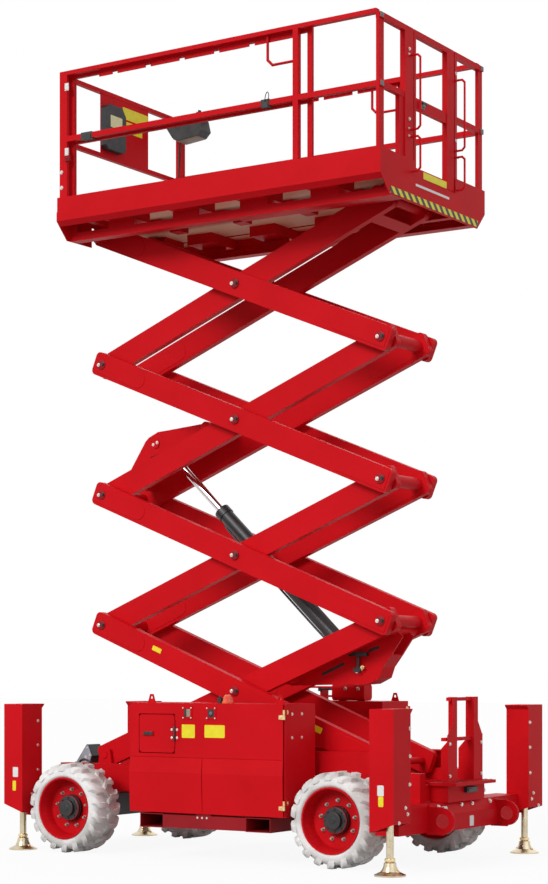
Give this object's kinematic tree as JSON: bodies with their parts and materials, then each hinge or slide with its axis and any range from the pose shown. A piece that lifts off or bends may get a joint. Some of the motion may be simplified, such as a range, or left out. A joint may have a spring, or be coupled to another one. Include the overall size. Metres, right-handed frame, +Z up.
{
  "type": "scissor lift",
  "caption": "Rough-terrain scissor lift: scissor stack raised by a cylinder, railed platform with a sliding deck extension, lugged tyres and outriggers.",
  "frame": {"origin": "on the floor under the centre of the machine's bounding box", "axes": "+X towards the entry gate and ladder, +Z up, -Y the near side with the inspection door; steered wheels at -X"},
  "size_m": [3.605, 2.23, 5.78],
  "materials": {
    "red_paint": "satin",
    "dark_red_paint": "satin",
    "rim_paint": "satin",
    "black_paint": "satin",
    "deck_steel": "brushed",
    "deck_underside": "matte",
    "chrome": "polished",
    "leg_steel": "satin",
    "tyre_rubber": "matte",
    "beacon_lens": "gloss",
    "control_plastic": "matte",
    "black_plastic": "matte"
  },
  "bodies": {
    "chassis": {"chassis_rails": "red_paint", "chassis_cross_members": "red_paint", "front_valve_block": "black_paint", "far_tank": "red_paint", "fork_pockets": "dark_red_paint", "near_cabinet": "red_paint", "far_cabinet": "red_paint", "beacon": "beacon_lens", "front_outrigger_frame": "red_paint", "rear_outrigger_frame": "red_paint", "entry_ladder": "red_paint", "front_axle": "black_paint", "rear_axle": "black_paint"},
    "near_door": {"near_door": "red_paint"},
    "near_inspection_door": {"near_inspection_door": "red_paint"},
    "far_door": {"far_door": "red_paint"},
    "near_knuckle": {"near_knuckle": "black_paint"},
    "far_knuckle": {"far_knuckle": "black_paint"},
    "lift_barrel": {"lift_cylinder_barrel": "black_paint"},
    "lift_rod": {"lift_cylinder_rod": "chrome"},
    "platform": {"platform_deck": "deck_underside", "platform_fascia": "red_paint", "platform_cross_plates": "red_paint", "platform_side_frames": "red_paint", "guard_rails": "red_paint", "grab_handles": "red_paint"},
    "entry_gate": {"entry_gate": "red_paint"},
    "extension": {"extension_deck": "deck_steel", "extension_rails": "red_paint", "control_box": "control_plastic", "document_box": "black_plastic"},
    "front_near_wheel": {"front_near_rim": "rim_paint", "front_near_tyre": "tyre_rubber"},
    "front_near_leg": {"front_near_leg": "leg_steel"},
    "front_far_wheel": {"front_far_rim": "rim_paint", "front_far_tyre": "tyre_rubber"},
    "front_far_leg": {"front_far_leg": "leg_steel"},
    "rear_near_wheel": {"rear_near_rim": "rim_paint", "rear_near_tyre": "tyre_rubber"},
    "rear_near_leg": {"rear_near_leg": "leg_steel"},
    "rear_far_wheel": {"rear_far_rim": "rim_paint", "rear_far_tyre": "tyre_rubber"},
    "rear_far_leg": {"rear_far_leg": "leg_steel"},
    "inner_1": {"inner_arms_1": "red_paint"},
    "outer_1": {"outer_arms_1": "red_paint"},
    "inner_2": {"inner_arms_2": "red_paint"},
    "outer_2": {"outer_arms_2": "red_paint"},
    "inner_3": {"inner_arms_3": "red_paint"},
    "outer_3": {"outer_arms_3": "red_paint"},
    "inner_4": {"inner_arms_4": "red_paint"},
    "outer_4": {"outer_arms_4": "red_paint"}
  },
  "joints": [
    {"name": "scissor_lift", "type": "hinge", "parent": "chassis", "child": "inner_1", "pos_m": [-1.291, 0, 0.7], "axis": [0, -1, 0], "range_deg": [-17.46, 37.94]},
    {"name": "level_1_centre_pivot", "type": "hinge", "parent": "inner_1", "child": "outer_1", "pos_m": [-0.07459, 0, 1.19294], "axis": [0, 1, 0], "range_deg": [-34.92, 75.88]},
    {"name": "level_2_lower_left_pivot", "type": "hinge", "parent": "outer_1", "child": "inner_2", "pos_m": [-1.291, 0, 1.68589], "axis": [0, -1, 0], "range_deg": [-34.92, 75.88]},
    {"name": "level_2_centre_pivot", "type": "hinge", "parent": "inner_2", "child": "outer_2", "pos_m": [-0.07459, 0, 2.17884], "axis": [0, 1, 0], "range_deg": [-34.92, 75.88]},
    {"name": "level_3_lower_left_pivot", "type": "hinge", "parent": "outer_2", "child": "inner_3", "pos_m": [-1.291, 0, 2.67178], "axis": [0, -1, 0], "range_deg": [-34.92, 75.88]},
    {"name": "level_3_centre_pivot", "type": "hinge", "parent": "inner_3", "child": "outer_3", "pos_m": [-0.07459, 0, 3.16473], "axis": [0, 1, 0], "range_deg": [-34.92, 75.88]},
    {"name": "level_4_lower_left_pivot", "type": "hinge", "parent": "outer_3", "child": "inner_4", "pos_m": [-1.291, 0, 3.65767], "axis": [0, -1, 0], "range_deg": [-34.92, 75.88]},
    {"name": "level_4_centre_pivot", "type": "hinge", "parent": "inner_4", "child": "outer_4", "pos_m": [-0.07459, 0, 4.15062], "axis": [0, 1, 0], "range_deg": [-34.92, 75.88]},
    {"name": "platform_pivot", "type": "hinge", "parent": "outer_4", "child": "platform", "pos_m": [-1.291, 0, 4.64356], "axis": [0, -1, 0], "range_deg": [-17.46, 37.94]},
    {"name": "cylinder_foot_pivot", "type": "hinge", "parent": "inner_1", "child": "lift_barrel", "pos_m": [0.832, 0, 1.342], "axis": [0, -1, 0], "range_deg": [-73.32, 33.8]},
    {"name": "rod_slide", "type": "slide", "parent": "lift_barrel", "child": "lift_rod", "axis": [-0.7213, 0, 0.6927], "range_m": [-0.5141, 1.1159]},
    {"name": "near_steering", "type": "hinge", "parent": "chassis", "child": "near_knuckle", "pos_m": [-1.23, -0.7, 0.33], "axis": [0, 0, 1], "range_deg": [-28, 28]},
    {"name": "front_near_wheel_spin", "type": "hinge", "parent": "near_knuckle", "child": "front_near_wheel", "pos_m": [-1.23, -0.73, 0.33], "axis": [0, 1, 0], "continuous": true},
    {"name": "rear_near_wheel_spin", "type": "hinge", "parent": "chassis", "child": "rear_near_wheel", "pos_m": [1.06, -0.73, 0.33], "axis": [0, 1, 0], "continuous": true},
    {"name": "far_steering", "type": "hinge", "parent": "chassis", "child": "far_knuckle", "pos_m": [-1.23, 0.7, 0.33], "axis": [0, 0, 1], "range_deg": [-28, 28]},
    {"name": "front_far_wheel_spin", "type": "hinge", "parent": "far_knuckle", "child": "front_far_wheel", "pos_m": [-1.23, 0.73, 0.33], "axis": [0, 1, 0], "continuous": true},
    {"name": "rear_far_wheel_spin", "type": "hinge", "parent": "chassis", "child": "rear_far_wheel", "pos_m": [1.06, 0.73, 0.33], "axis": [0, 1, 0], "continuous": true},
    {"name": "near_door_hinge", "type": "hinge", "parent": "chassis", "child": "near_door", "pos_m": [0.698, -0.877, 0.72], "axis": [0, 0, 1], "range_deg": [0, 110]},
    {"name": "near_inspection_door_hinge", "type": "hinge", "parent": "near_door", "child": "near_inspection_door", "pos_m": [-0.222, -0.877, 0.895], "axis": [0, 0, 1], "range_deg": [0, 110]},
    {"name": "far_door_hinge", "type": "hinge", "parent": "chassis", "child": "far_door", "pos_m": [0.698, 0.877, 0.72], "axis": [0, 0, -1], "range_deg": [0, 110]},
    {"name": "front_near_leg_slide", "type": "slide", "parent": "chassis", "child": "front_near_leg", "axis": [0, 0, 1], "range_m": [0, 0.22]},
    {"name": "front_far_leg_slide", "type": "slide", "parent": "chassis", "child": "front_far_leg", "axis": [0, 0, 1], "range_m": [0, 0.22]},
    {"name": "rear_near_leg_slide", "type": "slide", "parent": "chassis", "child": "rear_near_leg", "axis": [0, 0, 1], "range_m": [0, 0.22]},
    {"name": "rear_far_leg_slide", "type": "slide", "parent": "chassis", "child": "rear_far_leg", "axis": [0, 0, 1], "range_m": [0, 0.22]},
    {"name": "deck_extension", "type": "slide", "parent": "platform", "child": "extension", "axis": [-1, 0, 0], "range_m": [0, 1.5]},
    {"name": "entry_gate_hinge", "type": "hinge", "parent": "platform", "child": "entry_gate", "pos_m": [1.338, 0.3005, 5.25], "axis": [0, 0, -1], "range_deg": [0, 95]}
  ],
  "couplings": [
    {"joint": "level_1_centre_pivot", "follows": "scissor_lift", "ratio": 2},
    {"joint": "level_2_lower_left_pivot", "follows": "scissor_lift", "ratio": 2},
    {"joint": "level_2_centre_pivot", "follows": "scissor_lift", "ratio": 2},
    {"joint": "level_3_lower_left_pivot", "follows": "scissor_lift", "ratio": 2},
    {"joint": "level_3_centre_pivot", "follows": "scissor_lift", "ratio": 2},
    {"joint": "level_4_lower_left_pivot", "follows": "scissor_lift", "ratio": 2},
    {"joint": "level_4_centre_pivot", "follows": "scissor_lift", "ratio": 2},
    {"joint": "platform_pivot", "follows": "scissor_lift", "ratio": 1},
    {"joint": "cylinder_foot_pivot", "follows": "scissor_lift", "ratio": -1.93},
    {"joint": "rod_slide", "follows": "scissor_lift", "m_per_rad": 1.6836},
    {"joint": "far_steering", "follows": "near_steering", "ratio": 1}
  ]
}
